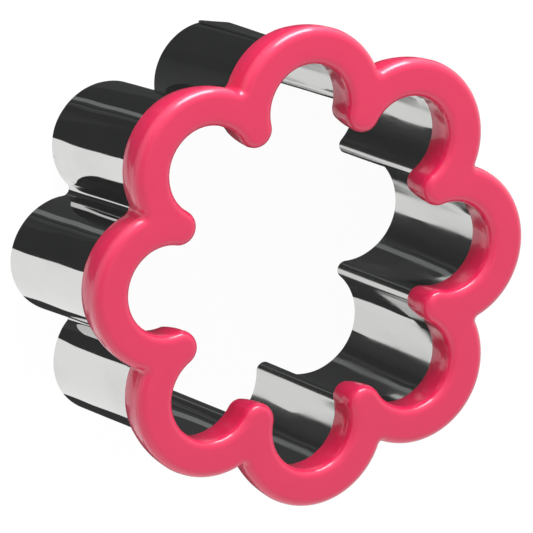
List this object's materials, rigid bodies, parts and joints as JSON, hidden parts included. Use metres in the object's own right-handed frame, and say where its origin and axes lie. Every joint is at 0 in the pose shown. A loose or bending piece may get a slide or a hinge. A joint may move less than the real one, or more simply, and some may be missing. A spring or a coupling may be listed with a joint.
{
  "type": "cookie cutter",
  "caption": "Flower-shaped cookie cutter: a thin polished steel band bent into round petals, with a moulded plastic grip ring along its upper edge.",
  "frame": {"origin": "middle of the flower, on the plane of the cutting edge", "axes": "+Z from the cutting edge up to the grip's top; +X through the crown of a petal"},
  "size_m": [0.1016, 0.1016, 0.0445],
  "materials": {
    "polished_steel": "thin stainless steel strip, mirror polished, with faint forming waves",
    "pink_plastic": "moulded hot-pink plastic, satin gloss"
  },
  "bodies": {
    "root": {"cutting_band": "polished_steel", "grip_ring": "pink_plastic"}
  },
  "joints": []
}
